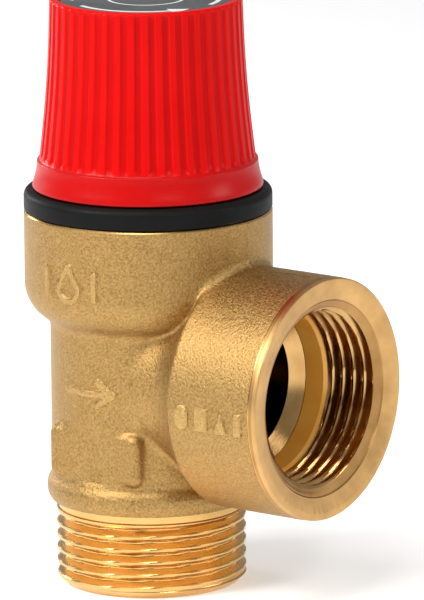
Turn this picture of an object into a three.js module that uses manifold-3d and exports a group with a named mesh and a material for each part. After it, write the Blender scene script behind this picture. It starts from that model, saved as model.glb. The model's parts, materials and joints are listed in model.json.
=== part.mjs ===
// Diaphragm pressure relief valve: male inlet below, female outlet at the side, spring and
// manual discharge knob above. Millimetres, +Z up along the valve axis, +X along the outlet.
// The origin is the centre of the inlet's end face.
import * as THREE from 'three';
import Module from 'manifold-3d';
import { mergeVertices } from 'three/addons/utils/BufferGeometryUtils.js';

const wasm = await Module();
wasm.setup();

// ---------------------------------------------------------------- driving dimensions

const GAP = 0.1;                 // between stacked faces
const RUNNING = 0.08;            // radial clearance of sliding and turning fits
const THREAD_GAP = 0.3;          // radial clearance left between plain threaded joints
const ROUND = 48;                // sides of the body, bonnet and knob
const INNER_ROUND = 32;          // sides of the round pieces inside them
const SMALL_ROUND = 24;          // sides of screws, bushes and the stem

// G 3/4 pipe thread, used on both ends
const PIPE = { major: 26.441 / 2, minor: 24.117 / 2, pitch: 1.814 };

// forged body
const INLET = { tip: 12.2, chamfer: 1.0, turns: 5, collarTop: 11.7, bore: 9.25, boreTop: 15 };
const BEAD = { r: 14.5, low: 13.4, high: 14.7, grooveR: 14.24, top: 16.2 };
const WAIST = { r: 13.8, top: 36.4 };
const HEAD = { r: 17.29, bottom: 43.65, top: 52.9 };
const PAD = { half: 7.8, flat: 13.5, low: 16.2, high: 23.7 };
const SEAT = { bore: 7.5, lip: 8.3, root: 9.2, low: 17.5, top: 24 };
const CHAMBER = { r: 11.6, floor: 19, ledge: 42, clampR: 15.6 };

// raised marks and the parting line left by the forging dies; turned is degrees from +X
const RELIEF = 0.32;
const DROP = {
  turned: -92, z: 44.9, bulb: 2.05, sink: 0.7, tip: 2.9, hollowTip: 1.75, line: 0.76, bar: 4.2, barHigh: 4.4,
};
const ARROW = {
  turned: -89, z: 29, tail: -4.8, tip: 4.1, notch: 2.6, barb: 1.1, barbIn: 0.9, head: 1.9, line: 0.9,
};
const PARTING = { wide: 0.6, high: 0.1 };

// outlet boss along +X: a neck that flares into a collar
const OUTLET = {
  z: 29.6, face: 30.85, r: 16.9, chamfer: 0.2,
  neck: 12.9, neckEnd: 9.5, flare: 15.4, collarStart: 15.5, collarEdge: 0.6,
};

// bore of the outlet: port, two widening steps, thread and a flat countersink at the mouth
const SOCKET = {
  start: 9.3, port: 9.1, portEnd: 17.35, step: 11.2, stepEnd: 18.7, drill: 11.6, drillEnd: 21.5,
  minorStart: 21.8, threadStart: 22.5, turns: 4, sink: 14.1, sinkDepth: 0.55, mouth: 15.7,
};

// closing gear, from the seat up
const LIFT = 2.25;               // how far the stem rises at full manual discharge
const TURN = 90;                 // degrees of knob turn that give it
const DISC = { r: 9.6, wall: 0.9, thick: 2.9, hole: 2.2 };
const RETAINER = { r: 6.4, thick: 1.0 };
const SEAL_SCREW = { shank: 2.0, head: 3.8, headHigh: 2.0, length: 9 };
const HOLDER = { web: 3.0, neck: 4.5, flange: 9.5, flangeHigh: 2.4, top: 43.4, stemDepth: 8.5 };
const DIAPHRAGM = { thick: 1.5, flat: 10, cone: 12.4, r: 15.4 };
const CLAMP_RING = { bore: 12.9, thick: 1.5 };
const PLATE = { r: 10.5, thick: 2.0, spigot: 5.6, spigotHigh: 1.5 };
const SLIP_RING = { bore: 6.0, r: 9.2, thick: 0.8 };
const STEM = { r: 2.5, top: 79.3, tapped: 8 };
const STEM_WASHER = { r: 4.6, thick: 0.8 };
const STEM_NUT = { across: 8, high: 3.2 };
const SPRING = { wire: 2.8, mean: 7.5, turns: 5, closed: 1, stepsPerTurn: 14, top: 69.5 };

// bonnet and setting gear
const BONNET = {
  spigot: 15.3, lowerBore: 11.2, flange: 17.28, flangeTop: 55.95, edge: 1.1,
  tube: 11.2, bore: 9.4, boreLow: 54.5, top: 75,
};
const SPRING_CAP = { thick: 0.9, spigot: 5.7, spigotHigh: 2.0 };
const SETTING_NUT = { high: 2.6, bush: 4.0, slot: 2.0, slotDeep: 1.2 };
const LOCK_RING = { high: 1.5, bore: 5.2 };
const BUSH = { flange: 4.9, flangeHigh: 0.5 };

// discharge ramps between bonnet and knob
const RAMP = { count: 3, span: 110, gap: 0.3, steps: 6, root: 0.5 };

// knob and what is on it
const KNOB = {
  bottom: 56.15, skirt: 16.1, skirtTop: 59.9, ledge: 15.5, cone: 15.2, coneTop: 13.4,
  shoulder: 81.2, top: 82.6, rim: 12.6, labelR: 12.1, labelFloor: 81.85,
  pocket: 5.4, pocketFloor: 79.2, hub: 6.6, hubLow: 75.6, ceiling: 79.3,
  mouth: 14.4, wallLow: 12.9, wallHigh: 11.6, wallLowZ: 60,
};
const KNOB_WASHER = { r: 4.8, thick: 0.6 };
const KNOB_SCREW = { shank: 1.5, head: 2.9, headHigh: 1.5, length: 8, slot: 0.8, slotDeep: 0.6 };
const LABEL = { r: 11.9, thick: 0.45 };

// ---------------------------------------------------------------- materials

function material(color, roughness, metalness) {
  return new THREE.MeshStandardMaterial({ color, roughness, metalness });
}

const FORGED_BRASS = material(0xb9965f, 0.55, 1.0);
const TURNED_BRASS = material(0xc88c32, 0.3, 1.0);
const STEEL = material(0xa6a8aa, 0.35, 1.0);
const SPRING_STEEL = material(0x8d9094, 0.4, 1.0);
const BLACK_NYLON = material(0x1c1e20, 0.55, 0.0);
const WHITE_NYLON = material(0xe4e2d8, 0.5, 0.0);
const RUBBER = material(0x17181a, 0.85, 0.0);
const RED_PLASTIC = material(0xe11919, 0.3, 0.0);
const LABEL_GREY = material(0x3b3d40, 0.45, 0.0);

// ---------------------------------------------------------------- building blocks

const point = (r, z) => new THREE.Vector2(r, z);

// turns a profile of (radius, height) points about the Z axis; outer walls run upwards
function revolve(profile, sides = ROUND) {
  const geometry = new THREE.LatheGeometry(profile, sides);
  geometry.rotateX(Math.PI / 2);
  return geometry;
}

function rod(r, low, high, sides = SMALL_ROUND) {
  return revolve([point(0, low), point(r, low), point(r, high), point(0, high)], sides);
}

function ring(bore, r, low, high, sides = INNER_ROUND) {
  const corners = [point(bore, low), point(r, low), point(r, high), point(bore, high), point(bore, low)];
  return revolve(corners, sides);
}

function box(width, depth, low, high) {
  const geometry = new THREE.BoxGeometry(width, depth, high - low);
  geometry.translate(0, 0, (low + high) / 2);
  return geometry;
}

// merges shared corners and drops the triangles that collapse on the axis
function weld(geometry) {
  geometry.deleteAttribute('normal');
  geometry.deleteAttribute('uv');
  const merged = mergeVertices(geometry, 1e-4);
  const corners = merged.index.array;
  const kept = [];
  for (let i = 0; i < corners.length; i += 3) {
    const [a, b, c] = corners.slice(i, i + 3);
    if (a !== b && b !== c && c !== a) kept.push(a, b, c);
  }
  merged.setIndex(kept);
  return merged;
}

function solid(geometry) {
  const welded = weld(geometry);
  return new wasm.Manifold(new wasm.Mesh({
    numProp: 3,
    vertProperties: new Float32Array(welded.attributes.position.array),
    triVerts: new Uint32Array(welded.index.array),
  }));
}

function geometryOf(manifold) {
  const mesh = manifold.getMesh();
  const geometry = new THREE.BufferGeometry();
  geometry.setAttribute('position', new THREE.BufferAttribute(mesh.vertProperties, 3));
  geometry.setIndex(new THREE.BufferAttribute(mesh.triVerts, 1));
  geometry.computeVertexNormals();
  return geometry;
}

function piece(name, shape, finish) {
  const geometry = shape.isBufferGeometry ? shape : geometryOf(shape);
  const mesh = new THREE.Mesh(geometry, finish);
  mesh.name = name;
  return mesh;
}

// points of a V thread from one radius out to the other and back, once per pitch
function threadProfile(start, turns, first, second) {
  const profile = [point(first, start)];
  for (let turn = 0; turn < turns; turn += 1) {
    const root = start + (turn + 0.5) * PIPE.pitch;
    profile.push(point(second, root), point(first, root + PIPE.pitch / 2));
  }
  return profile;
}

// stretch of a ring whose top or bottom climbs like a helix, counter-clockwise from above
function ramp(bore, r, startAngle, low, high, climbs) {
  const span = THREE.MathUtils.degToRad(RAMP.span);
  const sector = new THREE.Shape();
  sector.absarc(0, 0, r, 0, span, false);
  sector.absarc(0, 0, bore, span, 0, true);
  const geometry = new THREE.ExtrudeGeometry(sector, {
    depth: high - low, bevelEnabled: false, curveSegments: RAMP.steps,
  });
  const position = geometry.attributes.position;
  const middle = (high - low) / 2;
  for (let i = 0; i < position.count; i += 1) {
    const isTop = position.getZ(i) > middle;
    if (isTop === (climbs === 'top')) {
      const angle = Math.atan2(position.getY(i), position.getX(i));
      position.setZ(i, position.getZ(i) + angle * RISE);
    }
  }
  geometry.rotateZ(startAngle);
  geometry.translate(0, 0, low);
  return geometry;
}

const RISE = LIFT / THREE.MathUtils.degToRad(TURN);      // millimetres per radian of knob turn

function rampAngles() {
  return Array.from({ length: RAMP.count }, (_, i) => (i * 2 * Math.PI) / RAMP.count);
}

// ---------------------------------------------------------------- valve body

function bodyOutside() {
  const inletThread = threadProfile(INLET.chamfer, INLET.turns, PIPE.major, PIPE.minor);
  const bead = new THREE.CubicBezierCurve(
    point(PIPE.major, INLET.collarTop), point(BEAD.r - 0.4, INLET.collarTop),
    point(BEAD.r, BEAD.low - 0.8), point(BEAD.r, BEAD.low),
  ).getPoints(3);
  const shoulder = new THREE.CubicBezierCurve(
    point(WAIST.r, WAIST.top), point(WAIST.r, WAIST.top + 2.7),
    point(HEAD.r - 0.1, WAIST.top + 2.2), point(HEAD.r, HEAD.bottom),
  ).getPoints(6);
  return revolve([
    point(0, 0), point(INLET.tip, 0), ...inletThread, ...bead,
    point(BEAD.r, BEAD.high), point(BEAD.grooveR, BEAD.high + 0.4), point(BEAD.grooveR, BEAD.top),
    point(WAIST.r, BEAD.top), ...shoulder, point(HEAD.r, HEAD.top), point(0, HEAD.top),
  ]);
}

// inlet bore, raised seat, discharge chamber and the threaded mouth for the bonnet
function bodyInside() {
  return revolve([
    point(0, -1), point(INLET.bore, -1), point(INLET.bore, INLET.boreTop),
    point(SEAT.bore, SEAT.low), point(SEAT.bore, SEAT.top), point(SEAT.lip, SEAT.top),
    point(SEAT.root, CHAMBER.floor), point(CHAMBER.r, CHAMBER.floor), point(CHAMBER.r, CHAMBER.ledge),
    point(CHAMBER.clampR, CHAMBER.ledge), point(CHAMBER.clampR, HEAD.top + 1), point(0, HEAD.top + 1),
  ], INNER_ROUND);
}

function barShape(left, right, low, high) {
  return new THREE.Shape([point(left, low), point(right, low), point(right, high), point(left, high)]);
}

// outline of a water drop between two upright bars
function dropShapes() {
  const outlined = (outline, r, tip) => {
    outline.absarc(0, -DROP.sink, r, Math.PI, 2 * Math.PI, false);
    outline.lineTo(0, tip);
    outline.closePath();
    return outline;
  };
  const drop = outlined(new THREE.Shape(), DROP.bulb, DROP.tip);
  drop.holes.push(outlined(new THREE.Path(), DROP.bulb - DROP.line, DROP.hollowTip));
  const half = DROP.line / 2;
  const bars = [-DROP.bar, DROP.bar].map(
    (x) => barShape(x - half, x + half, -DROP.barHigh / 2, DROP.barHigh / 2),
  );
  return [drop, ...bars];
}

function arrowShapes() {
  const half = ARROW.line / 2;
  const { tip, notch, barb, barbIn, head } = ARROW;
  const chevron = new THREE.Shape([
    point(tip, 0), point(barb, head), point(barb, barbIn),
    point(notch, 0), point(barb, -barbIn), point(barb, -head),
  ]);
  return [barShape(ARROW.tail, (tip + notch) / 2, -half, half), chevron];
}

// flat shapes raised on a round wall, facing outwards
function raised(shapes, wall, mark) {
  const reach = 2;
  const style = { depth: reach, bevelEnabled: false, curveSegments: 8 };
  const flat = wasm.Manifold.union(shapes.map((shape) => solid(new THREE.ExtrudeGeometry(shape, style))));
  const standing = flat.rotate([90, 0, 90]).translate([wall - reach / 2, 0, mark.z]);
  return standing.rotate([0, 0, mark.turned]).intersect(solid(rod(wall + RELIEF, 0, HEAD.top, ROUND)));
}

function partingRib() {
  const rib = box(1, PARTING.wide, HEAD.bottom, HEAD.top);
  rib.translate(0.5 - HEAD.r - PARTING.high, 0, 0);
  return solid(rib);
}

function alongOutlet(geometry) {
  geometry.rotateY(Math.PI / 2);
  geometry.translate(0, 0, OUTLET.z);
  return geometry;
}

function outletBoss() {
  const flare = new THREE.QuadraticBezierCurve(
    point(OUTLET.neck, OUTLET.neckEnd), point(OUTLET.neck, (OUTLET.neckEnd + OUTLET.collarStart) / 2),
    point(OUTLET.flare, OUTLET.collarStart),
  ).getPoints(3);
  return alongOutlet(revolve([
    point(0, 0), point(OUTLET.neck, 0), ...flare,
    point(OUTLET.r - OUTLET.collarEdge, OUTLET.collarStart),
    point(OUTLET.r, OUTLET.collarStart + OUTLET.collarEdge),
    point(OUTLET.r, OUTLET.face - OUTLET.chamfer),
    point(OUTLET.r - OUTLET.chamfer, OUTLET.face), point(0, OUTLET.face),
  ]));
}

function outletBore() {
  const thread = threadProfile(SOCKET.threadStart, SOCKET.turns, PIPE.minor, PIPE.major);
  const overrun = 0.5;
  return alongOutlet(revolve([
    point(0, SOCKET.start), point(SOCKET.port, SOCKET.start), point(SOCKET.port, SOCKET.portEnd),
    point(SOCKET.step, SOCKET.stepEnd), point(SOCKET.drill, SOCKET.drillEnd),
    point(PIPE.minor, SOCKET.minorStart), ...thread, point(SOCKET.sink, OUTLET.face - SOCKET.sinkDepth),
    point(SOCKET.mouth, OUTLET.face), point(SOCKET.mouth, OUTLET.face + overrun),
    point(0, OUTLET.face + overrun),
  ], INNER_ROUND));
}

function valveBody() {
  let body = solid(bodyOutside()).add(solid(outletBoss())).add(partingRib());
  body = body.add(raised(dropShapes(), HEAD.r, DROP)).add(raised(arrowShapes(), WAIST.r, ARROW));
  body = body.add(solid(box(2 * PAD.half, 2 * PAD.flat, PAD.low, PAD.high)));
  for (const side of [-1, 1]) {
    const slab = box(2 * PAD.half, 2, PAD.low, PAD.high);
    slab.translate(0, side * (PAD.flat + 1), 0);
    body = body.subtract(solid(slab));
  }
  return body.subtract(solid(bodyInside())).subtract(solid(outletBore()));
}

// ---------------------------------------------------------------- closing gear

const discLow = SEAT.top + 0.05;
const discTop = discLow + DISC.thick;
const diaphragmLow = HOLDER.top + GAP;
const diaphragmTop = diaphragmLow + DIAPHRAGM.thick;
const rimLow = CHAMBER.ledge + GAP;
const rimTop = rimLow + DIAPHRAGM.thick;
const clampTop = rimTop + GAP + CLAMP_RING.thick;
const plateLow = diaphragmTop + GAP;
const plateTop = plateLow + PLATE.thick;
const spigotTop = plateTop + PLATE.spigotHigh;
const slipTop = plateTop + GAP + SLIP_RING.thick;
const stemBore = STEM.r + RUNNING;

function sealDisc() {
  return ring(DISC.hole, DISC.r, discLow, discTop);
}

function sealRetainer() {
  const top = discLow - GAP;
  return ring(DISC.hole, RETAINER.r, top - RETAINER.thick, top, SMALL_ROUND);
}

// pan head screw that holds the retainer and the seal disc up against the holder
function sealScrew() {
  const headTop = discLow - RETAINER.thick - 2 * GAP;
  const headLow = headTop - SEAL_SCREW.headHigh;
  const outline = revolve([
    point(0, headLow), point(SEAL_SCREW.head * 0.7, headLow), point(SEAL_SCREW.head, headLow + 0.9),
    point(SEAL_SCREW.head, headTop), point(SEAL_SCREW.shank, headTop),
    point(SEAL_SCREW.shank, headTop + SEAL_SCREW.length), point(0, headTop + SEAL_SCREW.length),
  ], SMALL_ROUND);
  const slot = box(2 * SEAL_SCREW.head, 1, headLow - 1, headLow + 0.8);
  return solid(outline).subtract(solid(slot));
}

function discHolder() {
  const cup = DISC.r + GAP;
  const floor = discTop + GAP;
  const outline = revolve([
    point(0, floor), point(cup, floor), point(cup, floor - 2), point(cup + DISC.wall, floor - 2),
    point(cup + DISC.wall, floor + 1), point(HOLDER.neck, floor + HOLDER.web),
    point(HOLDER.neck, HOLDER.top - HOLDER.flangeHigh - 2),
    point(HOLDER.flange, HOLDER.top - HOLDER.flangeHigh), point(HOLDER.flange, HOLDER.top),
    point(0, HOLDER.top),
  ], INNER_ROUND);
  const screwHole = rod(SEAL_SCREW.shank + RUNNING, floor - 1, discLow + SEAL_SCREW.length);
  const stemHole = rod(stemBore, HOLDER.top - HOLDER.stemDepth, HOLDER.top + 1);
  return solid(outline).subtract(solid(screwHole)).subtract(solid(stemHole));
}

// rubber sheet: flat middle clamped on the stem, cone, flat rim clamped in the body
function diaphragm() {
  const slope = DIAPHRAGM.thick * 0.3;
  return revolve([
    point(stemBore, diaphragmLow), point(DIAPHRAGM.flat, diaphragmLow),
    point(DIAPHRAGM.cone, rimLow), point(DIAPHRAGM.r, rimLow), point(DIAPHRAGM.r, rimTop),
    point(DIAPHRAGM.cone + slope, rimTop), point(DIAPHRAGM.flat + slope, diaphragmTop),
    point(stemBore, diaphragmTop), point(stemBore, diaphragmLow),
  ], INNER_ROUND);
}

function clampRing() {
  return ring(CLAMP_RING.bore, DIAPHRAGM.r, rimTop + GAP, clampTop);
}

// lower spring plate, with a spigot that centres the spring
function springPlate() {
  return revolve([
    point(stemBore, plateLow), point(PLATE.r, plateLow), point(PLATE.r, plateTop),
    point(PLATE.spigot, plateTop), point(PLATE.spigot, spigotTop), point(stemBore, spigotTop),
    point(stemBore, plateLow),
  ], INNER_ROUND);
}

function slipRing() {
  return ring(SLIP_RING.bore, SLIP_RING.r, plateTop + GAP, slipTop, INNER_ROUND);
}

function stemWasher() {
  const low = spigotTop + GAP;
  return ring(stemBore, STEM_WASHER.r, low, low + STEM_WASHER.thick, SMALL_ROUND);
}

function stemNut() {
  const low = spigotTop + STEM_WASHER.thick + 2 * GAP;
  const hexagon = rod(STEM_NUT.across / Math.sqrt(3), low, low + STEM_NUT.high, 6);
  return solid(hexagon).subtract(solid(rod(stemBore, low - 1, low + STEM_NUT.high + 1)));
}

function stem() {
  const low = HOLDER.top - HOLDER.stemDepth + GAP;
  const outline = revolve([
    point(0, low), point(STEM.r - 0.4, low), point(STEM.r, low + 0.4),
    point(STEM.r, STEM.top), point(0, STEM.top),
  ], SMALL_ROUND);
  const tappedHole = rod(KNOB_SCREW.shank + RUNNING, STEM.top - STEM.tapped, STEM.top + 1);
  return solid(outline).subtract(solid(tappedHole));
}

// ---------------------------------------------------------------- spring and setting gear

// centre line of a compression spring whose first and last turns are closed
class SpringLine extends THREE.Curve {
  constructor(low, high) {
    super();
    this.low = low;
    this.high = high;
  }

  getPoint(t, target = new THREE.Vector3()) {
    const turn = t * SPRING.turns;
    const closedPitch = SPRING.wire + GAP;
    const openTurns = SPRING.turns - 2 * SPRING.closed;
    const openHeight = this.high - this.low - 2 * SPRING.closed * closedPitch;
    const opened = THREE.MathUtils.clamp(turn - SPRING.closed, 0, openTurns);
    const height = (turn - opened) * closedPitch + (opened / openTurns) * openHeight;
    const angle = turn * 2 * Math.PI;
    return target.set(SPRING.mean * Math.cos(angle), SPRING.mean * Math.sin(angle), this.low + height);
  }
}

function spring() {
  const wire = SPRING.wire / 2;
  const line = new SpringLine(slipTop + GAP + wire, SPRING.top - wire);
  const section = new THREE.Shape(new THREE.Path().absarc(0, 0, wire, 0, 2 * Math.PI).getPoints(4));
  return new THREE.ExtrudeGeometry(section, {
    extrudePath: line, steps: SPRING.turns * SPRING.stepsPerTurn, bevelEnabled: false,
  });
}

const capLow = SPRING.top + GAP;
const capTop = capLow + SPRING_CAP.thick;
const nutLow = capTop + GAP;
const nutTop = nutLow + SETTING_NUT.high;
const lockLow = nutTop + GAP;
const lockTop = lockLow + LOCK_RING.high;
const insideBonnet = BONNET.bore - THREAD_GAP;

function springCap() {
  const bore = STEM.r + 1;
  return revolve([
    point(bore, capLow - SPRING_CAP.spigotHigh), point(SPRING_CAP.spigot, capLow - SPRING_CAP.spigotHigh),
    point(SPRING_CAP.spigot, capLow), point(insideBonnet, capLow), point(insideBonnet, capTop),
    point(bore, capTop), point(bore, capLow - SPRING_CAP.spigotHigh),
  ], INNER_ROUND);
}

function slotted(blank, low, high) {
  let part = solid(blank);
  for (const turned of [false, true]) {
    const slot = box(2 * BONNET.bore, SETTING_NUT.slot, low, high);
    if (turned) slot.rotateZ(Math.PI / 2);
    part = part.subtract(solid(slot));
  }
  return part;
}

function settingNut() {
  const blank = ring(SETTING_NUT.bush, insideBonnet, nutLow, nutTop, INNER_ROUND);
  return slotted(blank, nutTop - SETTING_NUT.slotDeep, nutTop + 1);
}

function lockRing() {
  const blank = ring(LOCK_RING.bore, insideBonnet, lockLow, lockTop, INNER_ROUND);
  return slotted(blank, lockTop - LOCK_RING.high / 2, lockTop + 1);
}

// flanged bush in the setting nut that guides the stem
function stemBush() {
  const r = SETTING_NUT.bush - GAP;
  return revolve([
    point(stemBore, nutLow), point(r, nutLow), point(r, nutTop + GAP), point(BUSH.flange, nutTop + GAP),
    point(BUSH.flange, nutTop + GAP + BUSH.flangeHigh), point(stemBore, nutTop + GAP + BUSH.flangeHigh),
    point(stemBore, nutLow),
  ], SMALL_ROUND);
}

function bonnet() {
  const low = clampTop + GAP;
  const flangeLow = HEAD.top + GAP;
  const edge = new THREE.Path()
    .absarc(BONNET.flange - BONNET.edge, BONNET.flangeTop - BONNET.edge, BONNET.edge, 0, Math.PI / 2)
    .getPoints(4);
  let shell = solid(revolve([
    point(BONNET.lowerBore, low), point(BONNET.spigot, low), point(BONNET.spigot, flangeLow),
    point(BONNET.flange, flangeLow), ...edge, point(BONNET.tube, BONNET.flangeTop),
    point(BONNET.tube, BONNET.top), point(BONNET.bore, BONNET.top), point(BONNET.bore, BONNET.boreLow),
    point(BONNET.lowerBore, BONNET.boreLow - 1.5), point(BONNET.lowerBore, low),
  ]));
  for (const angle of rampAngles()) {
    const low = BONNET.top - RAMP.root;
    shell = shell.add(solid(ramp(BONNET.bore, BONNET.tube - GAP, angle, low, BONNET.top, 'top')));
  }
  return shell;
}

// ---------------------------------------------------------------- knob

function knob() {
  const shoulder = new THREE.QuadraticBezierCurve(
    point(KNOB.coneTop, KNOB.shoulder), point(KNOB.coneTop - 0.1, KNOB.top), point(KNOB.rim, KNOB.top),
  ).getPoints(4);
  let shell = solid(revolve([
    point(KNOB.mouth, KNOB.bottom), point(KNOB.skirt, KNOB.bottom),
    point(KNOB.ledge + 0.2, KNOB.bottom + 1.6), point(KNOB.ledge, KNOB.skirtTop),
    point(KNOB.cone, KNOB.skirtTop + 0.4), point(KNOB.cone - 0.75, KNOB.skirtTop + 7),
    ...shoulder, point(KNOB.labelR, KNOB.top), point(KNOB.labelR, KNOB.labelFloor),
    point(KNOB.pocket, KNOB.labelFloor), point(KNOB.pocket, KNOB.pocketFloor),
    point(stemBore, KNOB.pocketFloor), point(stemBore, KNOB.hubLow), point(KNOB.hub, KNOB.hubLow),
    point(KNOB.hub, KNOB.ceiling), point(KNOB.wallHigh, KNOB.ceiling),
    point(KNOB.wallLow, KNOB.wallLowZ), point(KNOB.mouth, KNOB.bottom),
  ]));
  for (const angle of rampAngles()) {
    const low = BONNET.top + RAMP.gap;
    const high = KNOB.ceiling + RAMP.root;
    shell = shell.add(solid(ramp(BONNET.bore + GAP, KNOB.wallHigh + 0.4, angle, low, high, 'bottom')));
  }
  return shell;
}

function knobWasher() {
  const low = STEM.top + GAP;
  return ring(KNOB_SCREW.shank + RUNNING, KNOB_WASHER.r, low, low + KNOB_WASHER.thick, SMALL_ROUND);
}

function knobScrew() {
  const headLow = STEM.top + KNOB_WASHER.thick + 2 * GAP;
  const headTop = headLow + KNOB_SCREW.headHigh;
  const outline = revolve([
    point(0, headLow - KNOB_SCREW.length), point(KNOB_SCREW.shank, headLow - KNOB_SCREW.length),
    point(KNOB_SCREW.shank, headLow), point(KNOB_SCREW.head, headLow),
    point(KNOB_SCREW.head, headTop - 0.6), point(KNOB_SCREW.head * 0.7, headTop), point(0, headTop),
  ], SMALL_ROUND);
  const slot = box(2 * KNOB_SCREW.head, KNOB_SCREW.slot, headTop - KNOB_SCREW.slotDeep, headTop + 1);
  return solid(outline).subtract(solid(slot));
}

function labelDisc() {
  const low = KNOB.labelFloor + 0.05;
  return rod(LABEL.r, low, low + LABEL.thick, ROUND);
}

// ---------------------------------------------------------------- assembly

const group = new THREE.Group();
group.add(
  piece('valve_body', valveBody(), FORGED_BRASS),
  piece('bonnet', bonnet(), BLACK_NYLON),
  piece('clamp_ring', clampRing(), TURNED_BRASS),
  piece('diaphragm', diaphragm(), RUBBER),
  piece('spring', spring(), SPRING_STEEL),
  piece('spring_cap', springCap(), STEEL),
  piece('setting_nut', settingNut(), TURNED_BRASS),
  piece('lock_ring', lockRing(), TURNED_BRASS),
  piece('stem_bush', stemBush(), WHITE_NYLON),
  piece('seal_screw', sealScrew(), STEEL),
  piece('seal_retainer', sealRetainer(), STEEL),
  piece('seal_disc', sealDisc(), RUBBER),
  piece('disc_holder', discHolder(), TURNED_BRASS),
  piece('spring_plate', springPlate(), TURNED_BRASS),
  piece('slip_ring', slipRing(), WHITE_NYLON),
  piece('stem_washer', stemWasher(), STEEL),
  piece('stem_nut', stemNut(), STEEL),
  piece('stem', stem(), TURNED_BRASS),
  piece('knob_washer', knobWasher(), STEEL),
  piece('knob_screw', knobScrew(), STEEL),
  piece('knob', knob(), RED_PLASTIC),
  piece('label_disc', labelDisc(), LABEL_GREY),
);

export default group;
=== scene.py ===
"""Diaphragm pressure relief valve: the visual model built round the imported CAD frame.

Shapes are worked out in millimetres in the CAD frame (Z up the valve axis, X along the outlet)
and become metres when they turn into Blender meshes.
"""
import json
import math

import bpy
import numpy as np
from mathutils import Matrix, Vector


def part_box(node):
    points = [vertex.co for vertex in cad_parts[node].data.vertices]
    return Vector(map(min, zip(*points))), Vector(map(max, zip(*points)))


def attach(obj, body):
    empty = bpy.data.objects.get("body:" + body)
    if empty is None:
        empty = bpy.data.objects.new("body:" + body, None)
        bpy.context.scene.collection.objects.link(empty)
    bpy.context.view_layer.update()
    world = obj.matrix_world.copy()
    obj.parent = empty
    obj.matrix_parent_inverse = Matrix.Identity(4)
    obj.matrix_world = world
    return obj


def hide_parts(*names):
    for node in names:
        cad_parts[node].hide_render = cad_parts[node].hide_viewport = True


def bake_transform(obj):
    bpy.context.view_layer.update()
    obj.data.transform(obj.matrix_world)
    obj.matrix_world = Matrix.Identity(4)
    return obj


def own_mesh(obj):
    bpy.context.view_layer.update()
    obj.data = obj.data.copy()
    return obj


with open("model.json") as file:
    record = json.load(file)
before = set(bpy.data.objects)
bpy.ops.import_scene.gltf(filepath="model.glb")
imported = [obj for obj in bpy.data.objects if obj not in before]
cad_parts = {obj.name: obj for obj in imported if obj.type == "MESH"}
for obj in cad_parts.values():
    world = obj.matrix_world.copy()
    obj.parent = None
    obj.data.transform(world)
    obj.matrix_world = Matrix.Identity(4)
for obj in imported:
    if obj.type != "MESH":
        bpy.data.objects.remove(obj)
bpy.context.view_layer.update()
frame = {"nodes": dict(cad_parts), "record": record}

MM = 0.001


# ------------------------------------------------------------------ sizes read from the frame


def node_box(name):
    low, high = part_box(name)
    return np.array(low) / MM, np.array(high) / MM


def mount_point(name):
    for mount in frame["record"]["mounts"]:
        if mount["name"] == name:
            return np.array(mount["pos_m"]) / MM
    raise KeyError(name)


body_low, body_high = node_box("valve_body")
bonnet_low, bonnet_high = node_box("bonnet")
knob_low, knob_high = node_box("knob")
label_low, label_high = node_box("label_disc")
spring_low, spring_high = node_box("spring")
diaphragm_low, diaphragm_high = node_box("diaphragm")

HEAD_R = body_high[1]
HEAD_TOP = body_high[2]
FACE_X = body_high[0]
OUTLET_Z = mount_point("outlet_thread")[2]
FLAT_Y = mount_point("wrench_flat_back")[1]

# G 3/4 pipe thread
MAJOR = 26.441 / 2
MINOR = 24.117 / 2
PITCH = 1.814
THREAD_WIDTH, ROOT_FLAT, ROWS_PER_PITCH = 0.8, 0.12, 14

# forged skin
WAIST_R = 13.8
SKIN_LOW = 11.9
HEAD_LOW = 37.2
HEAD_EDGE = 5.6
BEAD_R = 14.5
BEAD_LOW, BEAD_HIGH, BEAD_EDGE = 11.3, 16.0, 2.1
PAD_HALF, PAD_LOW, PAD_HIGH, PAD_EDGE = 7.8, 16.2, 23.7, 1.4
COLLAR_R, COLLAR_X, COLLAR_EDGE = 16.9, 15.5, 0.9
BAND_START = 29.6
NECK_R, NECK_END, FLARE = 12.9, 9.5, 2.7
RELIEF = 0.32
PARTING_HALF, PARTING_RELIEF, PARTING_BLEND = 0.3, 0.09, 0.12
HEAD_BLEND, MARK_BLEND, COLLAR_BLEND, NECK_BLEND = 1.2, 0.22, 1.3, 0.7
BEAD_BLEND, PAD_BLEND = 0.35, 0.6
GRID = 0.26

# where the lighter brass of the raised marks, wear and a painted highlight, starts and ends
MARK_ZONE_END = 8.0
ARROW_ZONE_R, ARROW_ZONE_Z, ARROW_ZONE_X = 14.5, (26.2, 31.8), (-6.5, 4.2)
SIGN_ZONE_R, SIGN_ZONE_X = 17.4, (16.5, 29.4)

# machined ends and bores
INLET_TIP, INLET_BORE, INLET_BORE_TOP = 12.2, 9.25, 15.0
SEAT_BORE, SEAT_LIP, SEAT_ROOT, SEAT_LOW, SEAT_TOP = 7.5, 8.3, 9.2, 17.5, 24.0
CHAMBER_R, CHAMBER_FLOOR, CHAMBER_LEDGE, CLAMP_R = 11.6, 19.0, 42.0, 15.6
PORT_R, PORT_START, PORT_END = 9.1, 9.3, 17.35
STEP_R, STEP_END, DRILL_R, DRILL_END, MINOR_START = 11.2, 18.7, 11.6, 21.5, 21.8
CREST_SHIFT, GROOVE_START, GROOVE_R, GROOVE_END = 0.37, 29.75, 13.6, 30.05
SINK_R, SINK_DEPTH, MOUTH_R, FACE_CHAMFER = 14.1, 0.55, 15.7, 0.15
CUTTER_OUT, CUTTER_END = 3, 12

# bonnet and knob
RUNNING_R = 2.58
LIFT = 2.25
RAMPS, RAMP_SPAN, RAMP_RISE = 3, math.radians(110), LIFT / math.radians(90)
RIBS = 44
RIB_DEPTH = 0.24
RIB_FLAT, RIB_EDGE = 0.46, 0.18
RIBS_LOW, RIBS_HIGH = 60.25, 82.1

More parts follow.
